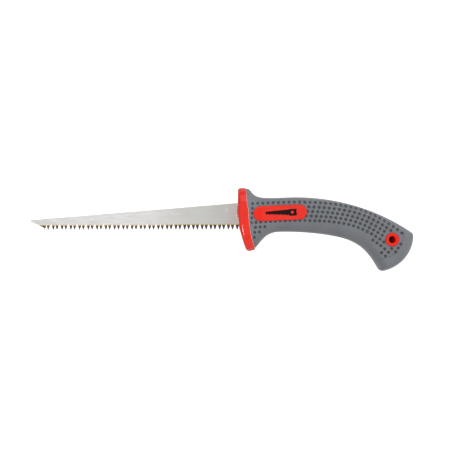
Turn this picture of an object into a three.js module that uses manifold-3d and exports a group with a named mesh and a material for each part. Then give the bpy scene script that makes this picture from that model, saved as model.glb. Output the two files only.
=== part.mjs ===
// Drywall saw: a stamped steel blade, insert-moulded into a hard plastic core, with a soft grip over it.
//
// Drawing frame of this file, in millimetres: x runs from the blade's tip (negative) to the butt of the
// handle, with x = 0 at the guard's front face; y runs up from the tooth gullets (y = 0) to the blade's
// back; z runs through the saw, with z = 0 in the middle of the blade. At the end the whole saw is moved so
// that it lies on its right side with the origin at the bottom centre of its bounding box.

import * as THREE from 'three';
import { mergeVertices } from 'three/addons/utils/BufferGeometryUtils.js';
import Module from 'manifold-3d';

const wasm = await Module();
wasm.setup();

// ---------------------------------------------------------------- driving dimensions (mm)

const FIT_GAP = 0.3; // clearance between separately moulded or inserted pieces

// blade
const BLADE_LENGTH = 150.8; // guard's front face to nose, which leaves 150 in front of the collar
const BLADE_THICKNESS = 1.2;
const BLADE_BACK_AT_GUARD = 15.85; // height of the blade's back above the gullets
const BLADE_BACK_AT_NOSE = 3.4;
const NOSE_BLUNT = { top: 0.7, high: 2.7, low: 1.7, bottom: 0.4, foot: 0.9 }; // the tip's two small corners
const TOOTH_PITCH = 3.175; // 8 teeth per inch
const TOOTH_COUNT = 45;
const TOOTH_HEIGHT = 3.6;
const TOOTH_ROOT_WIDTH = 2.4;
const TOOTH_TIP_WIDTH = 0.4;
const FIRST_TOOTH_X = -140.6;
const HEEL_LENGTH = 7; // full-height blade inside the guard
const TANG_LENGTH = 58;
const TANG_TOP = { front: 13.6, rear: 10.4 };
const TANG_BOTTOM = { front: 2.4, rear: 4.6 };
const TANG_HOLE_RADIUS = 2.6;
const TANG_HOLES = [{ x: 21, y: 8 }, { x: 44, y: 7.6 }];

// guard
const GUARD_HALF_WIDTH = 15;
const GUARD_TOP = 26.7;
const GUARD_BOTTOM = -19;
const GUARD_CORNER = 12.5; // corner radius of the flange as seen along the blade
const BOSS = { y: 9.4, z: 0, height: 11.6, width: 8.4, rise: 0.8 }; // collar where the blade leaves the guard

// grip
const GRIP_HALF_THICKNESS = { guard: 14.7, neck: 12.4, palm: 13.4, butt: 14.7 };
const NECK_START_X = 17; // the flare behind the guard has died out here
const NECK_END_X = 34;
const PALM_X = 74; // thickest place of the palm swell
const BUTT_X = 108; // the butt has its full thickness from here on
const EDGE_ROUND = { guard: 12.5, back: 6, belly: 10, butt: 6 }; // width of the rounded edges, side view
const SECTION_POWER = 2.25; // superellipse power of that rounding
const SKIN_THICKNESS = 2.7; // soft skin over the core
const BUTT_CENTRE = { x: 99, y: -7 };
const BUTT_RADIUS = 27;

// plaque, hanging hole, anchors
const PLAQUE = { front: { x: 15.8, y: 8 }, rear: { x: 43.1, y: 9.1 }, radius: 5.3, rise: 0.35 };
const EYELET = { x: 108.7, y: -10.45, radius: 4.75, bore: 2.56, halfLength: 15 };
const ANCHORS = [{ x: 66, y: 6 }, { x: 88, y: -1 }]; // soft posts that tie the two sides of the skin together
const ANCHOR_RADIUS = 2.5;
const INK = { thickness: 0.22, length: 22.6, height: 4.8 };

// mesh fineness: stations along the handle and steps across it
const OUTER_GRID = { stations: 44, steps: 12 };
const INNER_GRID = { stations: 24, steps: 8 };
const ROUND_SEGMENTS = 32;

// ---------------------------------------------------------------- helpers

function toSolid(geometry) {
  const bare = geometry.index ? geometry.clone() : geometry;
  bare.deleteAttribute('normal');
  bare.deleteAttribute('uv');
  const merged = mergeVertices(bare, 1e-4);
  const source = merged.index.array;
  const triangles = [];
  for (let i = 0; i < source.length; i += 3) {
    const [a, b, c] = [source[i], source[i + 1], source[i + 2]];
    if (a !== b && b !== c && c !== a) triangles.push(a, b, c);
  }
  return new wasm.Manifold(new wasm.Mesh({
    numProp: 3,
    vertProperties: new Float32Array(merged.attributes.position.array),
    triVerts: new Uint32Array(triangles),
  }));
}

function toMesh(solid, name, material) {
  const { vertProperties, triVerts } = solid.getMesh();
  const geometry = new THREE.BufferGeometry();
  geometry.setAttribute('position', new THREE.BufferAttribute(new Float32Array(vertProperties), 3));
  geometry.setIndex(new THREE.BufferAttribute(new Uint32Array(triVerts), 1));
  geometry.computeVertexNormals();
  const mesh = new THREE.Mesh(geometry, material);
  mesh.name = name;
  return mesh;
}

// A plate with the outline of a shape in the x-y plane, from z = low to z = high.
function plate(shape, low, high, curveSegments = 16) {
  const geometry = new THREE.ExtrudeGeometry(shape, { depth: high - low, bevelEnabled: false, curveSegments });
  geometry.translate(0, 0, low);
  return toSolid(geometry);
}

// A bar along x, from x = low to x = high, with the outline of a shape drawn in (y, z).
function barAlongX(shape, low, high, curveSegments = 16) {
  const geometry = new THREE.ExtrudeGeometry(shape, { depth: high - low, bevelEnabled: false, curveSegments });
  geometry.translate(0, 0, low);
  const axes = new THREE.Matrix4().makeBasis(
    new THREE.Vector3(0, 1, 0),
    new THREE.Vector3(0, 0, 1),
    new THREE.Vector3(1, 0, 0),
  );
  geometry.applyMatrix4(axes);
  return toSolid(geometry);
}

// A round bar through the saw's thickness.
function roundBar({ x, y }, radius, halfLength) {
  const geometry = new THREE.CylinderGeometry(radius, radius, 2 * halfLength, ROUND_SEGMENTS);
  geometry.rotateX(Math.PI / 2);
  geometry.translate(x, y, 0);
  return toSolid(geometry);
}

function roundedRectangle(width, height, radius, centreX = 0, centreY = 0) {
  const [w, h] = [width / 2 - radius, height / 2 - radius];
  const shape = new THREE.Shape();
  shape.absarc(centreX + w, centreY + h, radius, 0, Math.PI / 2);
  shape.absarc(centreX - w, centreY + h, radius, Math.PI / 2, Math.PI);
  shape.absarc(centreX - w, centreY - h, radius, Math.PI, 1.5 * Math.PI);
  shape.absarc(centreX + w, centreY - h, radius, 1.5 * Math.PI, 2 * Math.PI);
  shape.closePath();
  return shape;
}

// A capsule round two centres.
function capsule(a, b, radius) {
  const tilt = Math.atan2(b.y - a.y, b.x - a.x);
  const shape = new THREE.Shape();
  shape.absarc(b.x, b.y, radius, tilt - Math.PI / 2, tilt + Math.PI / 2);
  shape.absarc(a.x, a.y, radius, tilt + Math.PI / 2, tilt + 1.5 * Math.PI);
  shape.closePath();
  return shape;
}

const smoothstep = (t) => THREE.MathUtils.smoothstep(t, 0, 1);
const mix = THREE.MathUtils.lerp;

// ---------------------------------------------------------------- blade

function bladeBack(x) {
  return mix(BLADE_BACK_AT_NOSE, BLADE_BACK_AT_GUARD, (x + BLADE_LENGTH) / BLADE_LENGTH);
}

// The toothed edge from the heel to the nose: each tooth is a narrow trapezium between round-bottomed gullets.
function toothedEdge(shape) {
  for (let i = TOOTH_COUNT - 1; i >= 0; i -= 1) {
    const x = FIRST_TOOTH_X + i * TOOTH_PITCH;
    shape.lineTo(x + TOOTH_ROOT_WIDTH / 2, 0);
    shape.lineTo(x + TOOTH_TIP_WIDTH / 2, -TOOTH_HEIGHT);
    shape.lineTo(x - TOOTH_TIP_WIDTH / 2, -TOOTH_HEIGHT);
    if (i > 0) shape.lineTo(x - TOOTH_ROOT_WIDTH / 2, 0);
  }
}

function tangOutline(shape, margin) {
  shape.lineTo(HEEL_LENGTH + margin, bladeBack(HEEL_LENGTH) + margin);
  shape.lineTo(HEEL_LENGTH + margin, TANG_TOP.front + margin);
  shape.lineTo(TANG_LENGTH + margin, TANG_TOP.rear + margin);
  shape.lineTo(TANG_LENGTH + margin, TANG_BOTTOM.rear - margin);
  shape.lineTo(HEEL_LENGTH + margin, TANG_BOTTOM.front - margin);
  shape.lineTo(HEEL_LENGTH + margin, -margin);
}

function buildBlade() {
  const { top, high, low, bottom, foot } = NOSE_BLUNT;
  const shape = new THREE.Shape();
  shape.moveTo(top - BLADE_LENGTH, bladeBack(top - BLADE_LENGTH));
  tangOutline(shape, 0);
  toothedEdge(shape);
  shape.lineTo(bottom - BLADE_LENGTH, foot);
  shape.lineTo(-BLADE_LENGTH, low);
  shape.lineTo(-BLADE_LENGTH, high);
  shape.closePath();
  // ExtrudeGeometry wants its outline anticlockwise and turns this clockwise one round itself.
  let blade = plate(shape, -BLADE_THICKNESS / 2, BLADE_THICKNESS / 2);
  for (const hole of TANG_HOLES) blade = blade.subtract(roundBar(hole, TANG_HOLE_RADIUS, BLADE_THICKNESS));
  return blade;
}

// The room that the blade takes in the core: a slot open at the guard's face, with moulded posts through the holes.
function bladePocket() {
  const shape = new THREE.Shape();
  shape.moveTo(-5, bladeBack(0) + FIT_GAP);
  tangOutline(shape, FIT_GAP);
  shape.lineTo(FIT_GAP, -FIT_GAP);
  shape.lineTo(-5, -TOOTH_HEIGHT);
  shape.closePath();
  const halfSlot = BLADE_THICKNESS / 2 + FIT_GAP;
  let pocket = plate(shape, -halfSlot, halfSlot);
  for (const hole of TANG_HOLES) pocket = pocket.subtract(roundBar(hole, TANG_HOLE_RADIUS - FIT_GAP, 5));
  return pocket;
}

// ---------------------------------------------------------------- grip surface

// Top and bottom outlines run from the guard to the middle of the butt, where they meet.
function gripEdges() {
  const top = new THREE.Path();
  top.moveTo(2, 26.4);
  top.lineTo(5.8, 26.4);
  top.bezierCurveTo(7.9, 26.3, 8.6, 25.3, 9.8, 23.7);
  top.bezierCurveTo(11.6, 21.3, 13.8, 19.7, 20, 19.6);
  top.bezierCurveTo(29.6, 19.3, 38.3, 20.4, 48, 19.9);
  top.bezierCurveTo(73.3, 18.8, 100.3, 11.4, 124.7, -5.2);
  const right = BUTT_CENTRE.x + BUTT_RADIUS;
  top.quadraticCurveTo(right - 0.1, -6.2, right, -8.8);
  top.absarc(BUTT_CENTRE.x, BUTT_CENTRE.y, BUTT_RADIUS, -0.068, -0.745, true);

  const bottom = new THREE.Path();
  bottom.moveTo(8, -20.9);
  bottom.lineTo(12.5, -16.6);
  bottom.bezierCurveTo(16.3, -13, 18.9, -5.3, 30, -5.1);
  bottom.bezierCurveTo(39.3, -4.7, 54.7, -5.6, 66, -7.6);
  bottom.bezierCurveTo(84.4, -10.5, 92.5, -15.9, 101.1, -31.2);
  const low = BUTT_CENTRE.y - BUTT_RADIUS;
  bottom.quadraticCurveTo(102.2, low + 0.3, 104.5, low + 0.57);
  bottom.absarc(BUTT_CENTRE.x, BUTT_CENTRE.y, BUTT_RADIUS, -1.366, -0.745);
  return { top, bottom };
}

const EDGES = gripEdges();

function gripHalfThickness(x) {
  const { guard, neck, palm, butt } = GRIP_HALF_THICKNESS;
  if (x < NECK_START_X) return mix(guard, neck, smoothstep((x - 6) / (NECK_START_X - 6)));
  if (x < NECK_END_X) return neck;
  if (x < PALM_X) return mix(neck, palm, smoothstep((x - NECK_END_X) / (PALM_X - NECK_END_X)));
  return mix(palm, butt, smoothstep((x - PALM_X) / (BUTT_X - PALM_X)));
}

function edgeRound(x, isTop) {
  const { guard, back, belly, butt } = EDGE_ROUND;
  if (isTop) return mix(guard, back, smoothstep((x - 6) / 20));
  return mix(belly, butt, smoothstep((x - 70) / 35));
}

// The outline of the handle form, as points that each carry the width of the rounding there.
function handleRim(ends, inset) {
  const rim = [];
  const add = (point, isTop) => rim.push({ point, width: edgeRound(point.x, isTop) - inset });
  for (const end of ends) add(end.high, true);
  const last = ends[ends.length - 1];
  const closingSteps = 8;
  for (let j = 1; j < closingSteps; j += 1) add(last.high.clone().lerp(last.low, j / closingSteps), true);
  for (const end of [...ends].reverse()) add(end.low, false);
  return rim;
}

// How far in from the rim a point lies, as a share of the rounding's width, at most 1.
function rimDepth(rim, point) {
  let depth = 1;
  for (let i = 0; i + 1 < rim.length; i += 1) {
    const [a, b] = [rim[i].point, rim[i + 1].point];
    const side = b.clone().sub(a);
    const along = side.lengthSq() > 0 ? point.clone().sub(a).dot(side) / side.lengthSq() : 0;
    const share = THREE.MathUtils.clamp(along, 0, 1);
    const distance = point.distanceTo(a.clone().addScaledVector(side, share));
    depth = Math.min(depth, distance / mix(rim[i].width, rim[i + 1].width, share));
  }
  return depth;
}

// A closed body with the handle's form, moved in by `inset` all round (0 is the outside of the grip) and
// thickened by `rise` on its sides. It is a grid of stations between the two edge curves; `last` is the share
// of the edge curves that it covers, and at its last station, `reach` further on, the two sides come together.
function handleForm({ inset = 0, lastInset = inset, rise = 0, last = 1, reach = 0, grid = OUTER_GRID }) {
  const { stations, steps } = grid;
  const ends = [];
  for (let i = 0; i <= stations; i += 1) {
    const atEnd = i === stations;
    const share = last * i / stations + (atEnd ? reach : 0);
    const high = EDGES.top.getPointAt(share);
    const low = EDGES.bottom.getPointAt(share);
    const across = high.clone().sub(low).normalize().multiplyScalar(atEnd ? lastInset : inset);
    ends.push({ high: high.sub(across), low: low.add(across) });
  }
  const rim = handleRim(ends, inset);

  function height(point) {
    const rounding = (1 - (1 - rimDepth(rim, point)) ** SECTION_POWER) ** (1 / SECTION_POWER);
    return (gripHalfThickness(point.x) - inset + rise) * rounding;
  }

  const positions = [];
  for (const side of [1, -1]) {
    for (let i = 0; i <= stations; i += 1) {
      for (let j = 0; j <= steps; j += 1) {
        const across = (1 - Math.cos(Math.PI * j / steps)) / 2;
        const point = ends[i].low.clone().lerp(ends[i].high, across);
        const onRim = j === 0 || j === steps || i === stations;
        positions.push(point.x, point.y, onRim ? 0 : side * height(point));
      }
    }
  }
  const columns = steps + 1;
  const under = (stations + 1) * columns; // where the underside's points start
  const index = [];
  const quad = (a, b, c, d) => index.push(a, b, c, a, c, d);
  for (let i = 0; i < stations; i += 1) {
    for (let j = 0; j < steps; j += 1) {
      const a = i * columns + j;
      const b = a + columns;
      quad(a, b, b + 1, a + 1);
      quad(under + a, under + a + 1, under + b + 1, under + b);
    }
  }
  for (let j = 0; j < steps; j += 1) quad(j, j + 1, under + j + 1, under + j);
  const geometry = new THREE.BufferGeometry();
  geometry.setAttribute('position', new THREE.Float32BufferAttribute(positions, 3));
  geometry.setIndex(index);
  return toSolid(geometry);
}

// ---------------------------------------------------------------- guard

// The guard's rear edge in side view, from the top corner down to the bottom one, moved back by `margin`.
function guardRear(shape, margin) {
  shape.lineTo(5.6 + margin, 25.4);
  shape.bezierCurveTo(5.8 + margin, 20, 6.1 + margin, 16, 6.3 + margin, 12.4);
  shape.lineTo(7.1 + margin, 11.8);
  shape.bezierCurveTo(7.5 + margin, 3, 7.7 + margin, -2, 9.4 + margin, -9.2);
  shape.bezierCurveTo(10.1 + margin, -12, 11 + margin, -14.6, 11.9 + margin, -16.8);
}

function guardProfile() {
  const shape = new THREE.Shape();
  shape.moveTo(1.6, GUARD_TOP);
  shape.lineTo(4.8, GUARD_TOP - 0.1);
  shape.quadraticCurveTo(5.6, GUARD_TOP - 0.2, 5.6, 25.4);
  guardRear(shape, 0);
  shape.lineTo(11.8, -17.7);
  shape.lineTo(10.4, -18.6);
  shape.lineTo(9.4, -18.5);
  shape.lineTo(7.6, GUARD_BOTTOM);
  shape.quadraticCurveTo(5.9, GUARD_BOTTOM, 5.3, -17.2);
  shape.bezierCurveTo(3.6, -12.5, 2.2, -7, 0.9, -2.4);
  shape.bezierCurveTo(0.2, 1, -0.1, 6, -0.2, 12);
  shape.lineTo(-0.3, 24.6);
  shape.quadraticCurveTo(-0.2, GUARD_TOP - 0.1, 1.6, GUARD_TOP);
  shape.closePath();
  return shape;
}

function buildGuard() {
  const height = GUARD_TOP - GUARD_BOTTOM;
  const middle = (GUARD_TOP + GUARD_BOTTOM) / 2;
  const flange = roundedRectangle(height, 2 * GUARD_HALF_WIDTH, GUARD_CORNER, middle, 0);
  const profile = plate(guardProfile(), -GUARD_HALF_WIDTH - 1, GUARD_HALF_WIDTH + 1, 8);
  const collar = roundedRectangle(BOSS.height, BOSS.width, BOSS.width / 2, BOSS.y, BOSS.z);
  return barAlongX(flange, -5, 20, 10)
    .intersect(profile)
    .add(barAlongX(collar, -BOSS.rise, 3, 8));
}

// Everything in front of the grip: used to end the grip a fit gap behind the guard.
function guardSideOfGrip() {
  const shape = new THREE.Shape();
  shape.moveTo(-10, 40);
  shape.lineTo(5.6 + FIT_GAP, 40);
  guardRear(shape, FIT_GAP);
  shape.lineTo(14.5, -24);
  shape.lineTo(-10, -24);
  shape.closePath();
  return plate(shape, -30, 30, 8);
}

// ---------------------------------------------------------------- handle core and grip

const CORE_INSET = SKIN_THICKNESS + FIT_GAP;
const CORE_LAST = 0.9; // share of the edge curves that the spine covers

// The spine starts inside the guard, so what would stand out in front of the guard is cut off.
function aheadOfSpine() {
  const shape = new THREE.Shape();
  shape.moveTo(-20, 40);
  shape.lineTo(3, 40);
  shape.lineTo(3, 0);
  shape.lineTo(8.5, -24);
  shape.lineTo(-20, -24);
  shape.closePath();
  return plate(shape, -30, 30);
}

function buildCore() {
  let core = handleForm({ inset: CORE_INSET, lastInset: CORE_INSET + 1.5, last: CORE_LAST, grid: INNER_GRID });
  for (const anchor of ANCHORS) core = core.subtract(roundBar(anchor, ANCHOR_RADIUS + FIT_GAP, 20));
  const plaque = plate(capsule(PLAQUE.front, PLAQUE.rear, PLAQUE.radius), -20, 20, 12)
    .intersect(handleForm({ rise: PLAQUE.rise }));
  return core
    .subtract(aheadOfSpine())
    .add(plaque)
    .add(buildGuard())
    .add(roundBar(EYELET, EYELET.radius, EYELET.halfLength))
    .subtract(roundBar(EYELET, EYELET.bore, EYELET.halfLength + 5))
    .subtract(bladePocket());
}

function buildGrip() {
  const window = plate(capsule(PLAQUE.front, PLAQUE.rear, PLAQUE.radius + FIT_GAP), -20, 20, 12);
  let cavity = handleForm({ inset: SKIN_THICKNESS, last: CORE_LAST, reach: 0.01, grid: INNER_GRID });
  for (const anchor of ANCHORS) cavity = cavity.subtract(roundBar(anchor, ANCHOR_RADIUS, 20));
  return handleForm({})
    .subtract(cavity)
    .subtract(window)
    .subtract(roundBar(EYELET, EYELET.radius + FIT_GAP, 20))
    .subtract(guardSideOfGrip());
}

// ---------------------------------------------------------------- printed mark

// A plain saw pictogram: a toothed wedge and a block for its handle.
function inkOutline() {
  const teeth = 9;
  const handleLength = 6;
  const bladeLength = INK.length - handleLength;
  const step = bladeLength / teeth;
  const toothDepth = 0.9;
  const shape = new THREE.Shape();
  shape.moveTo(-INK.length / 2, 0.6);
  shape.lineTo(-INK.length / 2, -0.4);
  for (let i = 0; i < teeth; i += 1) {
    const x = -INK.length / 2 + i * step;
    const edge = mix(-0.4, -1.1, i / teeth);
    shape.lineTo(x + 0.15 * step, edge);
    shape.lineTo(x + 0.5 * step, edge - toothDepth);
    shape.lineTo(x + 0.85 * step, edge);
  }
  const handleStart = INK.length / 2 - handleLength;
  shape.lineTo(handleStart, -INK.height / 2);
  shape.lineTo(INK.length / 2 - 0.8, -INK.height / 2);
  shape.quadraticCurveTo(INK.length / 2 - 1.6, 0, INK.length / 2, INK.height / 2);
  shape.lineTo(handleStart + 0.6, INK.height / 2);
  shape.lineTo(handleStart, 1.6);
  shape.closePath();
  return shape;
}

function buildInk(side) {
  const centre = new THREE.Vector2(
    (PLAQUE.front.x + PLAQUE.rear.x) / 2 + 1,
    (PLAQUE.front.y + PLAQUE.rear.y) / 2,
  );
  const tilt = Math.atan2(PLAQUE.rear.y - PLAQUE.front.y, PLAQUE.rear.x - PLAQUE.front.x);
  const geometry = new THREE.ExtrudeGeometry(inkOutline(), { depth: 30, bevelEnabled: false, curveSegments: 6 });
  if (side < 0) geometry.translate(0, 0, -30);
  geometry.rotateZ(tilt);
  geometry.translate(centre.x, centre.y, 0);
  const bottom = PLAQUE.rise + FIT_GAP + 0.02;
  return toSolid(geometry)
    .intersect(handleForm({ rise: bottom + INK.thickness }))
    .subtract(handleForm({ rise: bottom }));
}

// ---------------------------------------------------------------- assembly

const STEEL = new THREE.MeshStandardMaterial({ color: '#c6c2bc', roughness: 0.35, metalness: 0.9 });
const RED = new THREE.MeshStandardMaterial({ color: '#e83a2e', roughness: 0.4, metalness: 0 });
const GREY = new THREE.MeshStandardMaterial({ color: '#7c8289', roughness: 0.75, metalness: 0 });
const BLACK = new THREE.MeshStandardMaterial({ color: '#1b1718', roughness: 0.5, metalness: 0 });

const saw = new THREE.Group();
saw.add(toMesh(buildBlade(), 'blade', STEEL));
saw.add(toMesh(buildCore(), 'handle_core', RED));
saw.add(toMesh(buildGrip(), 'grip_overmould', GREY));
saw.add(toMesh(buildInk(1), 'badge_print_left', BLACK));
saw.add(toMesh(buildInk(-1), 'badge_print_right', BLACK));

// Origin at the bottom centre of the bounding box.
const bounds = new THREE.Box3().setFromObject(saw);
const middle = bounds.getCenter(new THREE.Vector3());
saw.position.set(-middle.x, -middle.y, -bounds.min.z);

const group = new THREE.Group();
group.add(saw);

export default group;
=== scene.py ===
"""Looks of the drywall saw: satin steel blade, red moulded core, pitted grey soft grip, and ink marks.

The saw is drawn in millimetres in its own drawing frame: x = 0 at the guard's front face and growing towards
the butt, y = 0 at the tooth gullets and growing towards the blade's back, z = 0 in the middle of the blade.
place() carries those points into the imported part's frame, in metres.
"""

import math

import bmesh
import bpy
import numpy as np
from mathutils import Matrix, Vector


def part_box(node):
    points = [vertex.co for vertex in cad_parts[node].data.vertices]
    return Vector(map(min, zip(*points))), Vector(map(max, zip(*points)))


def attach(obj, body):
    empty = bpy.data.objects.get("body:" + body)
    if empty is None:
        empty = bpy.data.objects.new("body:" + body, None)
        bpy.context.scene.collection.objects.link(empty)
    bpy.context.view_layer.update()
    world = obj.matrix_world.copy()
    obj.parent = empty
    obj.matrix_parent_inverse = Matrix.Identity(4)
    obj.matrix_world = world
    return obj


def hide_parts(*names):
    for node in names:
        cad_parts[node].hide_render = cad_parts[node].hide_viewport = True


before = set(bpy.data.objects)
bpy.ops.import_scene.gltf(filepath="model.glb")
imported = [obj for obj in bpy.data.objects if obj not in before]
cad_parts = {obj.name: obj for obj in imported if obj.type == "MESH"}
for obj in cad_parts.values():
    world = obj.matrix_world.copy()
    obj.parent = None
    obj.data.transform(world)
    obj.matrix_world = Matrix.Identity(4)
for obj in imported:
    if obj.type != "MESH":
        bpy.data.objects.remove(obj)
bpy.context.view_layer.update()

MM = 0.001

# ---------------------------------------------------------------- driving dimensions (mm)

BLADE_LENGTH = 150.8
BLADE_THICKNESS = 1.2
BLADE_BACK_AT_GUARD = 15.85
BLADE_BACK_AT_NOSE = 3.4
TOOTH_PITCH = 3.175
TOOTH_COUNT = 45
TOOTH_HEIGHT = 3.6
TOOTH_ROOT_HALF = 1.22
TOOTH_MIDDLE_HALF = 0.78
TOOTH_TIP_HALF = 0.27  # at the nose
TOOTH_TIP_HALF_AT_GUARD = 0.19
TOOTH_WEAR = 0.15  # how much shorter the tooth next to the guard is
TOOTH_PAIRING = 0.12  # the teeth are ground in pairs: each stands this much nearer its partner
FIRST_TOOTH_X = -140.6
TOOTH_SET = 0.3  # sideways bend of the tips, alternately to each side
TOOTH_GRIND = 0.5  # how much narrower the ground side of a tooth is, each flank
NOSE_EDGE = 0.4  # half thickness left at the nose's edge
NOSE_BEVEL = 1.6  # width of the ground bevel along the slanted nose
NOSE_INWARD = np.array([0.43, 0.9])  # from the slanted edge into the blade
NOSE = [  # rim of the blunt tip and the bevel's inner edge beside it, from the slant round to the back
    (-150.4, 0.9, -149.6, 2.5),
    (-150.68, 1.35, -149.75, 2.72),
    (-150.8, 1.8, -149.9, 2.88),
    (-150.8, 2.5, -150.05, 2.98),
    (-150.55, 3.05, -150.15, 3.1),
    (-150.1, 3.38, -150.05, 3.25),
]
EDGE_CHAMFER = 0.07
HEEL_LENGTH = 7.0
TANG = [(7.0, 13.6), (58.0, 10.4), (58.0, 4.6), (7.0, 2.4)]
TANG_HOLES = [(21.0, 8.0), (44.0, 7.6)]
TANG_HOLE_RADIUS = 2.6
POCKET_GAP = 0.12  # between the blade and the pocket it sits in
POST_GAP = 0.1  # between the tang's holes and the posts through them

GUARD_HALF_WIDTH = 15.0
GUARD_TOP = 26.7
GUARD_BOTTOM = -19.0
GUARD_CORNER = 12.5
COLLAR = {"y": 9.6, "half_y": 4.9, "half_z": 4.0, "rise": 0.75}

GRIP_HALF = {"guard": 14.7, "neck": 12.4, "palm": 13.4, "butt": 14.7}
NECK_START_X = 17.0
NECK_END_X = 34.0
PALM_X = 74.0
BUTT_X = 108.0
EDGE_ROUND = {"guard": 12.5, "back": 6.0, "belly": 10.0, "butt": 6.0}
SECTION_POWER = 2.25
SKIN = 2.7
HOLLOW_SHARE = 0.9  # of the handle's length, filled by the core's spine
HOLLOW_REACH = 0.01  # how much further the hollow goes than the spine, as a share too
BUTT_CENTRE = (99.0, -7.0)
BUTT_RADIUS = 26.9
OUTER_GRID = (300, 80)  # stations along the handle form and steps across it
INNER_GRID = (120, 40)
SKIN_FRONT_X = 9.0  # no pit lies in front of this
RIM_ZONE = 0.15  # share of the edge rounding where no pit reaches
FRONT_SHIFT_SHARE = 0.09  # of the handle's length, over which the stations leave the guard's slant
SPINE_END_INSET = SKIN + 1.6

PLAQUE_FRONT = np.array([15.8, 8.0])
PLAQUE_REAR = np.array([43.1, 9.1])
PLAQUE_RADIUS = 5.3
PLAQUE_RISE = 0.35
INK_LENGTH = 22.6
INK_HEIGHT = 4.8
INK_OFFSET = 1.0  # of the print's middle from the plaque's middle, along the plaque
INK_FILM = 0.04
EYELET = np.array([108.7, -10.45])
EYELET_RADIUS = 4.75
EYELET_BORE = 2.56
EYELET_HALF = 15.0
SEAM = 0.1  # open line between the soft skin and the hard core

PIT_RADIUS = 1.08
PIT_DEPTH = 0.95
# the pits stand in 32 columns across the grip; rows 1 and 5 are led through these points at these columns
PIT_GUIDE_COLUMNS = [0, 4, 9, 13, 17, 21, 25, 29, 31]
PIT_GUIDE_ROW_1 = [(9.9, 15.0), (24.6, 15.6), (43.3, 16.1), (58.1, 15.6), (72.5, 13.9), (87.0, 10.6)]
PIT_GUIDE_ROW_1 += [(100.0, 4.6), (112.3, -3.5), (118.3, -8.1)]
PIT_GUIDE_ROW_5 = [(8.8, 1.5), (22.6, 2.4), (40.0, 3.2), (54.0, 2.9), (67.6, 2.0), (81.4, -0.7)]
PIT_GUIDE_ROW_5 += [(94.0, -6.4), (105.4, -14.4), (110.9, -19.2)]
EXTRA_ROW_STEP = 0.28  # spacing of the rows beyond the fifth, as a share of the way from row 1 to row 5
PANEL_CENTRE = (97.65, -5.85)  # of the moulding line round the pitted panel's end
PANEL_RADIUS = 19.0
GROOVE_HALF_WIDTH = 0.3
GROOVE_DEPTH = 0.26
PIT_EYELET_GAP = 0.9  # no pit's centre is nearer to the eyelet's rim
PAINTED_HIGHLIGHT_WIDTH = 0.45  # of the painted highlight, a pale line on the guard's rear edge

# ---------------------------------------------------------------- frame of the imported part

blade_low, blade_high = [np.array(corner, dtype=float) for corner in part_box("blade")]
ORIGIN = np.array(
    [
        blade_low[0] + BLADE_LENGTH * MM,
        blade_low[1] + TOOTH_HEIGHT * MM,
        (blade_low[2] + blade_high[2]) / 2,
    ]
)


def place(points):
    """Drawing-frame millimetres to the part's metres."""
    return ORIGIN + np.asarray(points, dtype=float) * MM


# ---------------------------------------------------------------- camera

VIEW_HEIGHT = 0.6  # above the middle plane of the saw
VIEW_WIDTH = 0.3275  # what the camera takes in at that plane
VIEW_CENTRE = (-8.91, -0.8)  # the picture's centre on the saw, in drawing millimetres

camera_data = bpy.data.cameras.new("camera")
camera_data.sensor_width = 36.0
camera_data.lens = camera_data.sensor_width * VIEW_HEIGHT / VIEW_WIDTH
camera = bpy.data.objects.new("camera", camera_data)
bpy.context.scene.collection.objects.link(camera)
camera.location = place((*VIEW_CENTRE, VIEW_HEIGHT / MM))
bpy.context.scene.camera = camera
bpy.context.scene.view_settings.view_transform = "Standard"

# ---------------------------------------------------------------- curves and small maths


def smooth(t):
    t = np.clip(t, 0.0, 1.0)
    return t * t * (3 - 2 * t)


def mix(a, b, t):
    return a + (b - a) * t


def bezier(*control, count=60):
    """Quadratic or cubic Bezier curve through its end points."""
    points = np.array(control, dtype=float)
    t = np.linspace(0, 1, count)[:, None]
    while len(points) > 1:
        points = [a * (1 - t) + b * t for a, b in zip(points[:-1], points[1:])]
    return points[0]


def arc(centre, radius, start, end, count=60):
    angles = np.linspace(start, end, count)
    return np.stack([centre[0] + radius * np.cos(angles), centre[1] + radius * np.sin(angles)], axis=1)


class Curve:
    """A plane curve that is looked up by its share of arc length."""

    def __init__(self, *parts):
        points = np.vstack([np.atleast_2d(np.array(part, dtype=float)) for part in parts])
        step = np.linalg.norm(np.diff(points, axis=0), axis=1)
        keep = np.concatenate([[True], step > 1e-6])
        self.points = points[keep]
        step = np.linalg.norm(np.diff(self.points, axis=0), axis=1)
        self.length = step.sum()
        self.share = np.concatenate([[0], np.cumsum(step)]) / self.length

    def at(self, share):
        return np.stack([np.interp(share, self.share, self.points[:, k]) for k in (0, 1)], axis=-1)


# ---------------------------------------------------------------- guard profile

GUARD_FRONT = Curve(
    [(-0.3, 27.5), (-0.3, 24.6), (-0.2, 12.0)],
    bezier((-0.2, 12.0), (-0.1, 6.0), (0.2, 1.0), (0.9, -2.4)),
    bezier((0.9, -2.4), (2.2, -7.0), (3.6, -12.5), (5.3, -17.2)),
    [(6.1, -19.5)],
)
GUARD_REAR = Curve(
    [(5.6, 27.5), (5.6, 25.4)],
    bezier((5.6, 25.4), (5.8, 20.0), (6.1, 16.0), (6.3, 12.6)),
    bezier((6.3, 12.6), (6.4, 12.1), (7.0, 12.2), (7.1, 11.6)),
    bezier((7.1, 11.6), (7.5, 3.0), (7.7, -2.0), (9.4, -9.2)),
    bezier((9.4, -9.2), (10.1, -12.0), (11.0, -14.6), (11.9, -16.8)),
    [(12.8, -19.5)],
)


def x_on(curve, y):
    """Where a guard profile curve, which runs from high y to low y, crosses height y."""
    return np.interp(-np.asarray(y), -curve.points[:, 1], curve.points[:, 0])


# ---------------------------------------------------------------- handle form

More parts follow.
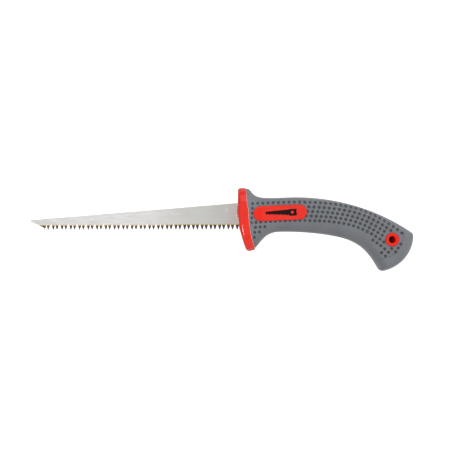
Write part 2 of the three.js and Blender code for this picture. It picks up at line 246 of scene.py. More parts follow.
TOP_EDGE = Curve(
    bezier((5.9, 26.4), (7.9, 26.3), (8.6, 25.3), (9.8, 23.7)),
    bezier((9.8, 23.7), (11.6, 21.3), (13.8, 19.7), (20.0, 19.6)),
    bezier((20.0, 19.6), (29.6, 19.3), (38.3, 20.4), (48.0, 19.9)),
    bezier((48.0, 19.9), (73.3, 18.8), (100.3, 11.4), (124.7, -5.2), count=200),
    bezier((124.7, -5.2), (125.8, -6.2), (125.83, -8.83)),
    arc(BUTT_CENTRE, BUTT_RADIUS, -0.068, -0.745, count=100),
)
BOTTOM_EDGE = Curve(
    [(12.2, -16.9), (12.5, -16.6)],
    bezier((12.5, -16.6), (16.3, -13.0), (18.9, -5.3), (30.0, -5.1), count=100),
    bezier((30.0, -5.1), (39.3, -4.7), (54.7, -5.6), (66.0, -7.6)),
    bezier((66.0, -7.6), (84.4, -10.5), (92.5, -15.9), (101.1, -31.2), count=120),
    bezier((101.1, -31.2), (102.2, -33.5), (104.47, -33.34)),
    arc(BUTT_CENTRE, BUTT_RADIUS, -1.366, -0.745, count=100),
)


def half_thickness(x):
    neck = mix(GRIP_HALF["guard"], GRIP_HALF["neck"], smooth((x - 6) / (NECK_START_X - 6)))
    palm = mix(neck, GRIP_HALF["palm"], smooth((x - NECK_END_X) / (PALM_X - NECK_END_X)))
    return mix(palm, GRIP_HALF["butt"], smooth((x - PALM_X) / (BUTT_X - PALM_X)))


def edge_round(x, is_top):
    if is_top:
        return mix(EDGE_ROUND["guard"], EDGE_ROUND["back"], smooth((x - 6) / 20))
    return mix(EDGE_ROUND["belly"], EDGE_ROUND["butt"], smooth((x - 70) / 35))


def rim_of(high, low, inset):
    """The handle form's outline as segments: start, end and width of the rounding on each."""
    closing = np.linspace(high[-1], low[-1], 9)
    points = np.vstack([high, closing[1:-1], low[::-1]])
    widths = np.concatenate(
        [edge_round(high[:, 0], True), edge_round(closing[1:-1, 0], True), edge_round(low[::-1, 0], False)]
    )
    return points[:-1], points[1:], (widths[:-1] + widths[1:]) / 2 - inset


def rim_depth(points, rim, block=4000):
    """How far in from the rim each point lies, as a share of the rounding's width, at most 1."""
    start, end, width = rim
    along = end - start
    length2 = np.maximum((along**2).sum(axis=1), 1e-12)
    depth = np.empty(len(points))
    for i in range(0, len(points), block):
        gap = points[i : i + block, None, :] - start[None]
        share = np.clip((gap * along).sum(axis=2) / length2, 0, 1)
        distance = np.linalg.norm(gap - share[..., None] * along, axis=2)
        depth[i : i + block] = (distance / width).min(axis=1)
    return np.minimum(depth, 1.0)


def rounded(depth):
    return (1 - (1 - depth) ** SECTION_POWER) ** (1 / SECTION_POWER)


RIM_SHARES = np.linspace(0, 1, 360)
OUTER_RIM = rim_of(TOP_EDGE.at(RIM_SHARES), BOTTOM_EDGE.at(RIM_SHARES), 0.0)


def skin_height(points):
    """Half thickness of the grip over points of the middle plane."""
    points = np.asarray(points, dtype=float)
    return half_thickness(points[:, 0]) * rounded(rim_depth(points, OUTER_RIM))


# ---------------------------------------------------------------- mesh helpers


def new_object(name, points, faces):
    """A mesh object from drawing-frame points, with faces turned outwards and no doubled points."""
    mesh = bpy.data.meshes.new(name)
    mesh.from_pydata(place(points).tolist(), [], [list(face) for face in faces])
    made = bmesh.new()
    made.from_mesh(mesh)
    bmesh.ops.remove_doubles(made, verts=made.verts, dist=1e-7)
    bmesh.ops.dissolve_degenerate(made, edges=made.edges, dist=1e-8)
    bmesh.ops.recalc_face_normals(made, faces=made.faces)
    made.to_mesh(mesh)
    made.free()
    piece = bpy.data.objects.new(name, mesh)
    bpy.context.scene.collection.objects.link(piece)
    return piece


def grid_faces(rows, columns, start=0, close_columns=False):
    """Quads of a grid of points; with close_columns the last column joins the first."""
    faces = []
    spans = columns if close_columns else columns - 1
    for i in range(rows - 1):
        for j in range(spans):
            a = start + i * columns + j
            b = start + i * columns + (j + 1) % columns
            faces.append((a, b, b + columns, a + columns))
    return faces


def ring_stack(rings):
    """Closed body of rings of points, each ring of the same count, capped at both ends."""
    count = len(rings[0])
    faces = grid_faces(len(rings), count, close_columns=True)
    faces.append(tuple(range(count)))
    last = (len(rings) - 1) * count
    faces.append(tuple(range(last, last + count)))
    return np.vstack(rings), faces


def boolean(target, tool, operation):
    """Joins, cuts or intersects target with tool; the tool is used up."""
    modifier = target.modifiers.new("boolean", "BOOLEAN")
    modifier.operation = operation
    modifier.solver = "MANIFOLD"
    modifier.object = tool
    bpy.context.view_layer.update()
    seen = target.evaluated_get(bpy.context.evaluated_depsgraph_get())
    result = bpy.data.meshes.new_from_object(seen)
    target.modifiers.clear()
    old = target.data
    target.data = result
    bpy.data.meshes.remove(old)
    bpy.data.objects.remove(tool)


def finish_piece(piece, name, node, material, sharp_degrees=32):
    piece.name = name
    mesh = piece.data
    mesh.name = name
    mesh.materials.clear()
    mesh.materials.append(material)
    mesh.shade_smooth()
    mesh.set_sharp_from_angle(angle=math.radians(sharp_degrees))
    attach(piece, "root")
    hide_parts(node)


def circle(centre, radius, z, count):
    angles = np.linspace(0, 2 * math.pi, count, endpoint=False)
    x = centre[0] + radius * np.cos(angles)
    y = centre[1] + radius * np.sin(angles)
    return np.stack([x, y, np.broadcast_to(z, count)], axis=1)


def capsule(a, b, radius, count=160):
    """Points round a capsule, evenly enough spaced, always the same ones for every radius."""
    along = (b - a) / np.linalg.norm(b - a)
    tilt = math.atan2(along[1], along[0])
    turn = count // 4
    straight = count // 2 - turn
    cap_b = arc(b, radius, tilt - math.pi / 2, tilt + math.pi / 2, turn + 1)
    cap_a = arc(a, radius, tilt + math.pi / 2, tilt + 1.5 * math.pi, turn + 1)
    back = np.linspace(cap_b[-1], cap_a[0], straight + 1)[1:-1]
    front = np.linspace(cap_a[-1], cap_b[0], straight + 1)[1:-1]
    return np.vstack([cap_b, back, cap_a, front])


# ---------------------------------------------------------------- grip


def handle_body(name, grid, inset=0.0, last=1.0, reach=0.0, last_inset=None, on_guard=False):
    """The handle form, moved in by inset; a closed body of stations between the two edges."""
    stations, steps = grid
    shares = np.linspace(0, last, stations + 1)
    if on_guard:  # a few close stations that round the skin's front edge
        shares = np.concatenate([np.array([0, 0.0004, 0.001, 0.0018, 0.0028]), shares[2:]])
    shares[-1] += reach
    high = TOP_EDGE.at(shares)
    low = BOTTOM_EDGE.at(shares)
    chord = high - low
    size = np.maximum(np.linalg.norm(chord, axis=1, keepdims=True), 1e-9)
    margins = np.full((len(shares), 1), inset)
    margins[-1] = inset if last_inset is None else last_inset
    margins = np.minimum(margins, size / 2)
    high = high - chord / size * margins
    low = low + chord / size * margins
    across = (1 - np.cos(np.pi * np.arange(steps + 1) / steps)) / 2
    flat = low[:, None, :] + (high - low)[:, None, :] * across[None, :, None]
    if on_guard:  # the first station lies along the guard's rear face
        lead = x_on(GUARD_REAR, flat[0, :, 1]) + SEAM - flat[0, :, 0]
        fade = (1 - smooth(shares / FRONT_SHIFT_SHARE))[:, None]
        flat[..., 0] += lead[None, :] * fade
        rim = rim_of(flat[:, -1], flat[:, 0], 0.0)
    else:
        rim = rim_of(high, low, inset)
    height = (half_thickness(flat[..., 0]) - inset) * rounded(
        rim_depth(flat.reshape(-1, 2), rim).reshape(flat.shape[:2])
    )
    height[:, 0] = 0
    height[:, -1] = 0
    height[-1] = 0
    upper = np.concatenate([flat, height[..., None]], axis=2)
    if on_guard:
        upper = round_front_edge(upper)
    lower = upper * np.array([1, 1, -1])
    rows, columns = upper.shape[:2]
    faces = grid_faces(rows, columns) + grid_faces(rows, columns, start=rows * columns)
    under = rows * columns
    for j in range(columns - 1):
        faces.append((j, j + 1, under + j + 1, under + j))
    return new_object(name, np.vstack([upper.reshape(-1, 3), lower.reshape(-1, 3)]), faces)


def round_front_edge(upper, radius=0.25):
    """Draws the first stations inwards along a quarter circle, so that the skin's front rim is rounded."""
    behind = np.linalg.norm(upper - upper[:1], axis=2)
    centre = upper[:, upper.shape[1] // 2] * np.array([1, 1, 0])
    outward = upper - centre[:, None, :]
    outward[..., 0] = 0
    outward /= np.maximum(np.linalg.norm(outward, axis=2, keepdims=True), 1e-9)
    short = np.clip(radius - behind, 0, radius)
    drop = radius - np.sqrt(radius**2 - short**2)
    return upper - outward * drop[..., None]


def through(keys, values, x):
    """Smooth interpolation of points at keys, with Catmull-Rom slopes."""
    keys = np.array(keys, dtype=float)
    values = np.array(values, dtype=float)
    slopes = np.gradient(values, keys, axis=0)
    i = int(np.clip(np.searchsorted(keys, x, side="right") - 1, 0, len(keys) - 2))
    span = keys[i + 1] - keys[i]
    t = (x - keys[i]) / span
    a = 2 * t**3 - 3 * t**2 + 1
    b = t**3 - 2 * t**2 + t
    c = -2 * t**3 + 3 * t**2
    d = t**3 - t**2
    return a * values[i] + b * span * slopes[i] + c * values[i + 1] + d * span * slopes[i + 1]


def pit_place(column, row):
    """Centre of a pit: rows 1 to 5 lie evenly between the two guide rows, and the extra rows lie beyond.

    The extra rows draw a little together, and lean towards the guard, the more so nearer the butt.
    """
    first = through(PIT_GUIDE_COLUMNS, PIT_GUIDE_ROW_1, column)
    fifth = through(PIT_GUIDE_COLUMNS, PIT_GUIDE_ROW_5, column)
    extra = max(row - 5, 0)
    share = (min(row, 5) - 1) / 4 + EXTRA_ROW_STEP * extra
    lean = np.array([-0.008 * column, 0.2 + 0.008 * column])
    return first + (fifth - first) * share + extra * lean


def pit_centres():
    places = [(column, row) for row in range(1, 6) for column in range(31)]
    places = [(c, r) for c, r in places if not (r in (2, 3, 4) and c > 28) and not (r == 5 and c == 29)]
    places += [(31, row) for row in (3, 4, 5)]
    places += [(column, 6) for column in (1, 2, 3, 26, 27, 28, 29, 30)]
    places += [(1, 7), (2, 7), (29, 7), (30, 7), (1, 8)]
    centres = []
    along = PLAQUE_REAR - PLAQUE_FRONT
    for column, row in places:
        centre = pit_place(column, row)
        share = np.clip((centre - PLAQUE_FRONT) @ along / (along @ along), 0, 1)
        off_plaque = np.linalg.norm(centre - PLAQUE_FRONT - share * along) - PLAQUE_RADIUS
        off_eyelet = np.linalg.norm(centre - EYELET) - EYELET_RADIUS
        if off_plaque > 0 and off_eyelet > PIT_EYELET_GAP:
            centres.append(centre)
    return centres


def follow(points, lift):
    """Points of the middle plane raised to the skin plus a lift."""
    return np.column_stack([points, skin_height(points) + lift])


def pit_cutter():
    """All the pits of both sides as one tool: round, drafted, with a rounded lip, drawn straight down."""
    profile = [(1.4, 2.5), (1.4, 0.2), (1.22, 0.0), (1.12, -0.05), (1.04, -0.14), (1.0, -0.28), (0.95, -0.7)]
    profile += [(0.86, 0.06 - PIT_DEPTH), (0.5, -PIT_DEPTH)]
    count = 20
    points, faces = [], []
    centres = pit_centres()
    for centre in centres:
        flat = np.vstack([circle(centre, PIT_RADIUS * r, 0, count)[:, :2] for r, _ in profile])
        lift = np.repeat([dz for _, dz in profile], count)
        body = follow(flat, lift)
        for side in (1, -1):
            start = sum(len(p) for p in points)
            _, local = ring_stack([body[k : k + count] for k in range(0, len(body), count)])
            points.append(body * np.array([1, 1, side]))
            faces += [tuple(start + v for v in face) for face in local]
    return new_object("pits", np.vstack(points), faces)


def window_cutter(outline_at, side):
    """A pocket through the skin with a rounded upper edge, for the plaque or the eyelet."""
    levels = [(0.9, 2.5), (0.9, 0.5), (0.45, 0.08), (0.25, -0.02), (0.1, -0.12), (0.0, -0.3)]
    rings = [follow(outline_at(SEAM + out), lift) for out, lift in levels]
    floor = outline_at(SEAM)
    rings.append(np.column_stack([floor, np.full(len(floor), 3.0)]))
    points, faces = ring_stack(rings)
    return new_object("window", points * np.array([1, 1, side]), faces)


def groove_cutter(side):
    """The fine moulding line that ends the pitted panel near the butt: a thin bent wedge."""
    angles = np.linspace(math.radians(4), math.radians(-83), 70)
    rings = []
    for angle in angles:
        direction = np.array([math.cos(angle), math.sin(angle)])
        middle = np.array(PANEL_CENTRE) + direction * PANEL_RADIUS
        aside = direction * GROOVE_HALF_WIDTH
        across = np.array([middle - aside, middle, middle + aside])
        low = follow(across, np.array([0.02, -GROOVE_DEPTH, 0.02]))
        high = follow(across[[2, 0]], np.array([0.8, 0.8]))
        rings.append(np.vstack([low, high]))
    points, faces = ring_stack(rings)
    return new_object("groove", points * np.array([1, 1, side]), faces)


def drawing_points(piece):
    """A piece's vertices in drawing-frame millimetres."""
    points = np.empty(len(piece.data.vertices) * 3)
    piece.data.vertices.foreach_get("co", points)
    return (points.reshape(-1, 3) - ORIGIN) / MM


def mark(piece, name, values):
    """Stores one value for each vertex, for the material to read."""
    piece.data.attributes.new(name, "FLOAT", "POINT").data.foreach_set("value", values.astype(np.float32))


def mark_sunk(grip):
    """Stores how far below the skin's surface each vertex lies, in mm, for the painted shade in the pits."""
    points = drawing_points(grip)
    sunk = np.maximum(skin_height(points[:, :2]) - np.abs(points[:, 2]), 0)
    sunk[points[:, 0] < SKIN_FRONT_X] = 0
    sunk[rim_depth(points[:, :2], OUTER_RIM) < RIM_ZONE] = 0
    mark(grip, "sunk", sunk)


def mark_painted_highlight(core):
    """Stores 1 at the guard's rear edge, fading to 0 a little in front of it, for the painted highlight there,
    a pale line.
    """
    points = drawing_points(core)
    ahead = x_on(GUARD_REAR, points[:, 1]) - points[:, 0]
    painted_highlight = np.where(ahead > -0.02, np.clip(1 - ahead / PAINTED_HIGHLIGHT_WIDTH, 0, 1), 0)
    mark(core, "painted_highlight", painted_highlight)


def build_grip(material):
    grip = handle_body("grip", OUTER_GRID, on_guard=True)
    cavity = handle_body("cavity", INNER_GRID, inset=SKIN, last=HOLLOW_SHARE, reach=HOLLOW_REACH)
    boolean(grip, cavity, "DIFFERENCE")

    def plaque_window(out):
        return capsule(PLAQUE_FRONT, PLAQUE_REAR, PLAQUE_RADIUS + out)

    def eyelet_window(out):
        return circle(EYELET, EYELET_RADIUS + out, 0, 96)[:, :2]

    for side in (1, -1):
        boolean(grip, window_cutter(plaque_window, side), "DIFFERENCE")
        boolean(grip, window_cutter(eyelet_window, side), "DIFFERENCE")
        boolean(grip, groove_cutter(side), "DIFFERENCE")
    boolean(grip, pit_cutter(), "DIFFERENCE")
    mark_sunk(grip)
    finish_piece(grip, "soft_grip", "grip_overmould", material)


# ---------------------------------------------------------------- core


def flange_outline(inset, top, bottom, count_corner=22, count_side=16):
    """Rounded rectangle of the guard seen along the blade, as (y, z), moved in by inset."""
    radius = GUARD_CORNER - inset
    half_z = GUARD_HALF_WIDTH - GUARD_CORNER
    corners = [
        (top - GUARD_CORNER, half_z, 0.0),
        (bottom + GUARD_CORNER, half_z, math.pi / 2),
        (bottom + GUARD_CORNER, -half_z, math.pi),
        (top - GUARD_CORNER, -half_z, 1.5 * math.pi),
    ]
    parts = []
    for y, z, start in corners:
        angles = np.linspace(start, start + math.pi / 2, count_corner + 1)
        parts.append(np.column_stack([y + radius * np.cos(angles), z + radius * np.sin(angles)]))
    outline = []
    for k, part in enumerate(parts):
        outline.append(part)
        following = parts[(k + 1) % 4][0]
        outline.append(np.linspace(part[-1], following, count_side + 1)[1:-1])
    return np.vstack(outline)


def collar_rise(y, z):
    """How far the collar stands out of the guard's front face: a soft-edged superellipse round the blade."""
    power = 2.4
    along = np.abs((y - COLLAR["y"]) / COLLAR["half_y"])
    across = np.abs(z / COLLAR["half_z"])
    reach = (along**power + across**power) ** (1 / power)
    return COLLAR["rise"] * np.clip(1 - reach**3, 0, 1) ** 0.6


def build_guard():
    """The flange: rings from the middle of its front face, over its edge, to the middle of its rear face."""
    front_round = (2.3, 1.3)  # length along the blade and depth from the edge of the front rounding
    rear_round = (1.0, 0.6)
    rings = []

    def ring(inset, shrink, front_share, offset):
        """front_share 0 is the front face and 1 the rear face; offset moves it along x."""
        bottom = GUARD_BOTTOM + 0.9 * front_share
        outline = flange_outline(inset, GUARD_TOP - 0.1 * front_share, bottom)
        middle = (GUARD_TOP + GUARD_BOTTOM) / 2
        y = mix(outline[:, 0], middle + (outline[:, 0] - middle) * 0.55, shrink)
        z = outline[:, 1] * (1 - shrink)
        front = x_on(GUARD_FRONT, y)
        rear = x_on(GUARD_REAR, y)
        if offset is None:
            x = mix(front + front_round[0], rear - rear_round[0], front_share)
        elif front_share == 0:
            x = front + offset - (collar_rise(y, z) if offset == 0 else 0)
        else:
            x = rear - offset
        rings.append(np.column_stack([x, y, z]))

    inner = 9.0
    turns = np.linspace(0, math.pi / 2, 9)
    for shrink in np.linspace(1, 0, 26):
        ring(inner, shrink, 0, 0)
    for inset in np.linspace(inner, front_round[1], 16)[1:]:
        ring(inset, 0, 0, 0)
    for turn in turns[1:]:
        ring(front_round[1] * (1 - math.sin(turn)), 0, 0, front_round[0] * (1 - math.cos(turn)))
    for share in np.linspace(0, 1, 8)[1:-1]:
        ring(0, 0, share, None)
    for turn in turns[::-1]:
        ring(rear_round[1] * (1 - math.sin(turn)), 0, 1, rear_round[0] * (1 - math.cos(turn)))
    for inset in np.linspace(rear_round[1], inner, 10)[1:]:
        ring(inset, 0, 1, 0)
    for shrink in np.linspace(0, 1, 14)[1:]:
        ring(inner, shrink, 1, 0)
    points = np.vstack(rings)
    faces = grid_faces(len(rings), len(rings[0]), close_columns=True)
    return new_object("guard", points, faces)


def build_plaque(side, rise=PLAQUE_RISE, low=4.0, name="plaque"):
    """The long badge, which follows the skin and stands proud of it, with a rounded rim."""
    fillet = 0.32
    rings = []
    outline = capsule(PLAQUE_FRONT, PLAQUE_REAR, PLAQUE_RADIUS)
    rings.append(np.column_stack([outline, np.full(len(outline), low)]))
    for turn in np.linspace(0, math.pi / 2, 6):
        rim = capsule(PLAQUE_FRONT, PLAQUE_REAR, PLAQUE_RADIUS - fillet * (1 - math.cos(turn)))
        rings.append(follow(rim, rise - fillet * (1 - math.sin(turn))))
    for radius in np.linspace(PLAQUE_RADIUS - fillet, 0, 18)[1:]:
        rings.append(follow(capsule(PLAQUE_FRONT, PLAQUE_REAR, radius), rise))
    points = np.vstack(rings)
    count = len(outline)
    faces = grid_faces(len(rings), count, close_columns=True)
    faces.append(tuple(range(count)))
    return new_object(name, points * np.array([1, 1, side]), faces)


def lathe(name, centre, profile, count=96):
    """A body turned round a line through the saw's thickness; profile is (radius, z) from below to above."""
    rings = [circle(centre, radius, z, count) for radius, z in profile]
    points, faces = ring_stack(rings)
    return new_object(name, points, faces)


def mirrored_profile(upper):
    """(radius, z) pairs of the upper half, from the middle up, made into the whole from below to above."""
    return [(r, -z) for r, z in reversed(upper)] + upper


def eyelet_bar():
    edge = 0.3
    turns = np.linspace(0, math.pi / 2, 5)
    upper = [(EYELET_RADIUS - edge * (1 - math.cos(t)), EYELET_HALF - edge * (1 - math.sin(t))) for t in turns]
    return lathe("eyelet", EYELET, mirrored_profile(upper))


def bore_cutter():
    edge = 0.35
    turns = np.linspace(0, math.pi / 2, 6)
    upper = [(EYELET_BORE + edge * (1 - math.cos(t)), EYELET_HALF - edge + edge * math.sin(t)) for t in turns]
    upper.append((EYELET_BORE + edge + 0.4, EYELET_HALF + 0.3))
    return lathe("bore", EYELET, mirrored_profile(upper))


def prism(name, outline, low, high):
    outline = np.asarray(outline, dtype=float)
    rings = [np.column_stack([outline, np.full(len(outline), z)]) for z in (low, high)]
    points, faces = ring_stack(rings)
    return new_object(name, points, faces)


def blade_back(x):
    return mix(BLADE_BACK_AT_NOSE, BLADE_BACK_AT_GUARD, (x + BLADE_LENGTH) / BLADE_LENGTH)


def pocket_outline(gap=POCKET_GAP):
    (x0, top0), (x1, top1), (_, low1), (_, low0) = TANG
    return [
        (-5, blade_back(0) + gap),
        (x0 + gap, blade_back(x0) + gap),
        (x0 + gap, top0 + gap),
        (x1 + gap, top1 + gap),
        (x1 + gap, low1 - gap),
        (x0 + gap, low0 - gap),
        (x0 + gap, -gap),
        (gap, -gap),
        (-5, -TOOTH_HEIGHT),
    ]


def build_core(material):
    core = build_guard()
    spine = handle_body(
        "spine", INNER_GRID, inset=SKIN + SEAM, last=HOLLOW_SHARE, last_inset=SPINE_END_INSET
    )
    before_guard = [(-20, -24), (8.5, -24), (3, 0), (3, 40), (-20, 40)]
    boolean(spine, prism("before_guard", before_guard, -30, 30), "DIFFERENCE")
    boolean(core, spine, "UNION")
    for side in (1, -1):
        boolean(core, build_plaque(side), "UNION")
    boolean(core, eyelet_bar(), "UNION")
    boolean(core, bore_cutter(), "DIFFERENCE")
    slot = BLADE_THICKNESS / 2 + POCKET_GAP
    pocket = prism("pocket", pocket_outline(), -slot, slot)
    radius = TANG_HOLE_RADIUS - POST_GAP
    for centre in TANG_HOLES:
        boolean(pocket, lathe("post", centre, [(radius, -2), (radius, 2)], count=32), "DIFFERENCE")
    boolean(core, pocket, "DIFFERENCE")
    mark_painted_highlight(core)
    finish_piece(core, "hard_core", "handle_core", material)


# ---------------------------------------------------------------- blade


def blade_outline():
    """Outline points, clockwise: x, y, kind, side that the tooth leans to, x from the tooth's middle."""
    outline = [(x, y, "nose", 0, 0) for x, y, _, _ in NOSE]
    outline += [(x, blade_back(x), "edge", 0, 0) for x in (-149, -100, -50, 0, HEEL_LENGTH)]
    outline += [(x, y, "edge", 0, 0) for x, y in TANG]
    outline.append((HEEL_LENGTH, 0.0, "edge", 0, 0))
    root, middle = -0.25, -1.9
    spots = [FIRST_TOOTH_X + i * TOOTH_PITCH + TOOTH_PAIRING * (-1) ** i for i in range(TOOTH_COUNT)]
    spots.append(spots[-1] + TOOTH_PITCH)
    for i in range(TOOTH_COUNT - 1, -1, -1):
        x = spots[i]
        side = 1 if i % 2 else -1
        wear = i / (TOOTH_COUNT - 1)  # the teeth next to the guard are a little shorter and finer
        tip = -TOOTH_HEIGHT + TOOTH_WEAR * wear
        tip_half = mix(TOOTH_TIP_HALF, TOOTH_TIP_HALF_AT_GUARD, wear)
        if i == TOOTH_COUNT - 1:
            outline.append((x + TOOTH_ROOT_HALF, 0.0, "edge", 0, 0))
        else:
            low, high = x + TOOTH_ROOT_HALF, spots[i + 1] - TOOTH_ROOT_HALF
            for turn in np.linspace(0, math.pi, 7)[1:-1]:
                gullet_x = (low + high) / 2 + (high - low) / 2 * math.cos(turn)
                outline.append((gullet_x, root + 0.45 * math.sin(turn), "gullet", 0, 0))
        flank = [(TOOTH_ROOT_HALF, root, "flank"), (TOOTH_MIDDLE_HALF, middle, "flank"), (tip_half, tip, "tip")]
        outline += [(x + off, y, kind, side, off) for off, y, kind in flank]
        if i == 0:
            outline.append((x - tip_half, tip, "nose_low", side, 0))
            break
        outline += [(x - off, y, kind, side, -off) for off, y, kind in reversed(flank)]
    return outline


def build_blade(material):
    """The blade as four rings of its outline: two flat faces and, between them, the two ends of its rim."""
    half = BLADE_THICKNESS / 2
    outline = blade_outline()
    flat = np.array([(x, y) for x, y, _, _, _ in outline])
    ahead = np.roll(flat, -1, axis=0) - flat
    behind = flat - np.roll(flat, 1, axis=0)
    tangent = ahead / np.linalg.norm(ahead, axis=1)[:, None] + behind / np.linalg.norm(behind, axis=1)[:, None]
    tangent /= np.linalg.norm(tangent, axis=1)[:, None]
    outward = np.stack([-tangent[:, 1], tangent[:, 0]], axis=1)  # the outline runs clockwise
    rings = {"top": [], "upper": [], "lower": [], "bottom": []}
    for (x, y, kind, side, off), out in zip(outline, outward):
        rim = np.array([x, y])
        rim_z = half - EDGE_CHAMFER
        face = {1: rim, -1: rim}
        bend = 0.0
        if kind == "edge":
            face = dict.fromkeys(face, rim - out * EDGE_CHAMFER)
        elif kind == "nose":
            rim_z = NOSE_EDGE
            face = dict.fromkeys(face, next(np.array(spot[2:]) for spot in NOSE if spot[:2] == (x, y)))
        elif kind == "nose_low":
            rim_z = NOSE_EDGE
            face = dict.fromkeys(face, rim + NOSE_INWARD * NOSE_BEVEL)
        elif kind != "gullet":
            deep = -y / TOOTH_HEIGHT
            narrow = min(TOOTH_GRIND * (0.35 + 0.65 * min(1.0, deep * 1.6)), abs(off) - 0.03)
            lift = 0.3 if kind == "tip" else 0.0
            face[-side] = np.array([x - math.copysign(narrow, off), y + lift])
            bend = side * TOOTH_SET * max(0.0, (deep - 0.15) / 0.85)
        rings["top"].append((*face[1], half + bend))
        if kind in ("edge", "nose", "nose_low"):
            rings["upper"].append((*rim, rim_z))
            rings["lower"].append((*rim, -rim_z))
        else:
            rings["upper"].append((*mix(rim, face[1], 0.35), 0.45 * half + bend))
            rings["lower"].append((*mix(rim, face[-1], 0.35), -0.45 * half + bend))
        rings["bottom"].append((*face[-1], -half + bend))
    points, faces = ring_stack([np.array(rings[k]) for k in ("top", "upper", "lower", "bottom")])
    blade = new_object("blade_body", points, faces)
    finish_piece(blade, "steel_blade", "blade", material, sharp_degrees=12)


# ---------------------------------------------------------------- ink


def ink_outline():
    """A plain handsaw: a toothed wedge and a rounded handle, centred, as (x, y)."""
    length, height, handle = INK_LENGTH, INK_HEIGHT, 6.4
    teeth = 9
    nose, heel = -length / 2, length / 2 - handle
    step = (heel - nose) / teeth
    points = [(nose, 1.15)]
    for i in range(teeth):
        edge = mix(-0.2, -1.35, i / teeth)
        x = nose + i * step
        points += [(x, edge), (x + 0.5 * step, edge - 0.9), (x + 0.98 * step, edge)]
    end, foot, head = length / 2, -height / 2, height / 2
    points.append((heel + 0.2, foot + 0.5))
    points += bezier((heel + 0.3, foot + 0.3), (heel + 0.4, foot), (heel + 1.0, foot), count=5).tolist()
    points += bezier((end - 1.3, foot), (end, foot), (end - 0.5, -0.9), count=8).tolist()
    points += bezier((end - 0.6, -0.2), (end - 1.1, 1.0), (end - 0.2, head - 0.3), count=8).tolist()
    points += [(end - 0.6, head), (heel + 1.2, head)]
    points += bezier((heel + 1.1, head), (heel + 0.3, head), (heel, 2.1), count=6).tolist()
    return np.array(points)


def build_ink(side, name, node, material):
    along = PLAQUE_REAR - PLAQUE_FRONT
    tilt = math.atan2(along[1], along[0])
    turn = np.array([[math.cos(tilt), -math.sin(tilt)], [math.sin(tilt), math.cos(tilt)]])

    def on_plaque(outline):
        return (outline + np.array([INK_OFFSET, 0.0])) @ turn.T + (PLAQUE_FRONT + PLAQUE_REAR) / 2

    low, high = (5, 20) if side > 0 else (-20, -5)
    film = prism(name, on_plaque(ink_outline()), low, high)
    finger_hole = arc((INK_LENGTH / 2 - 3.6, 0.05), 1.05, 0, 2 * math.pi, 25)[:-1]
    boolean(film, prism("hole", on_plaque(finger_hole), -25, 25), "DIFFERENCE")
    boolean(film, build_plaque(side, rise=PLAQUE_RISE + INK_FILM, name="over"), "INTERSECT")
    boolean(film, build_plaque(side, rise=PLAQUE_RISE + 0.005, low=3.0, name="under"), "DIFFERENCE")
    finish_piece(film, name, node, material)


# ---------------------------------------------------------------- materials


class Shader:
    """A node tree with short ways to add nodes and link them."""

    def __init__(self, name):
        self.material = bpy.data.materials.new(name)
        self.material.use_nodes = True
        self.tree = self.material.node_tree
        self.tree.nodes.clear()
        self.bsdf = self.node("ShaderNodeBsdfPrincipled")
        output = self.node("ShaderNodeOutputMaterial")
        self.link(self.bsdf.outputs["BSDF"], output.inputs["Surface"])
        self.place = self.node("ShaderNodeTexCoord").outputs["Object"]

    def node(self, kind, **settings):
        made = self.tree.nodes.new(kind)
        for key, value in settings.items():
            setattr(made, key, value)
        return made

    def link(self, a, b):
        self.tree.links.new(a, b)

    def feed(self, socket, value):
        if isinstance(value, bpy.types.NodeSocket):
            self.link(value, socket)
        else:
            socket.default_value = value

    def math(self, operation, a, b=0.0, clamp=False):
        made = self.node("ShaderNodeMath", operation=operation, use_clamp=clamp)
        self.feed(made.inputs[0], a)
        self.feed(made.inputs[1], b)
        return made.outputs[0]

    def noise(self, scale, detail=2.0, stretch=(1.0, 1.0, 1.0), roughness=0.5):
        """Noise with features of about 1 / scale metres."""
        mapping = self.node("ShaderNodeMapping")
        mapping.inputs["Scale"].default_value = stretch
        self.link(self.place, mapping.inputs["Vector"])
        made = self.node("ShaderNodeTexNoise")
        made.inputs["Scale"].default_value = scale
        made.inputs["Detail"].default_value = detail
        made.inputs["Roughness"].default_value = roughness
        self.link(mapping.outputs["Vector"], made.inputs["Vector"])
        return made.outputs["Fac"]

    def axis(self, letter):
        made = self.node("ShaderNodeSeparateXYZ")
        self.link(self.place, made.inputs[0])
        return made.outputs[letter]

    def between(self, value, low, high, out_low=0.0, out_high=1.0, smooth_ends=False):
        made = self.node("ShaderNodeMapRange")
        if smooth_ends:
            made.interpolation_type = "SMOOTHSTEP"
        self.feed(made.inputs["Value"], value)
        for key, number in (("From Min", low), ("From Max", high), ("To Min", out_low), ("To Max", out_high)):
            made.inputs[key].default_value = number
        return made.outputs["Result"]

    def blend(self, factor, a, b):
        made = self.node("ShaderNodeMix", data_type="RGBA")
        self.feed(made.inputs["Factor"], factor)
        self.feed(made.inputs["A"], a)
        self.feed(made.inputs["B"], b)
        return made.outputs["Result"]

    def bump(self, height, distance, strength=1.0, after=None):
        made = self.node("ShaderNodeBump")
        made.inputs["Distance"].default_value = distance
        made.inputs["Strength"].default_value = strength
        self.link(height, made.inputs["Height"])
        if after is not None:
            self.link(after, made.inputs["Normal"])
        return made.outputs["Normal"]


def srgb(red, green, blue):
    """A colour given as on a screen, 0 to 255, as linear light."""
    channels = []
    for value in (red, green, blue):
        value /= 255
        channels.append(value / 12.92 if value <= 0.04045 else ((value + 0.055) / 1.055) ** 2.4)
    return (*channels, 1.0)


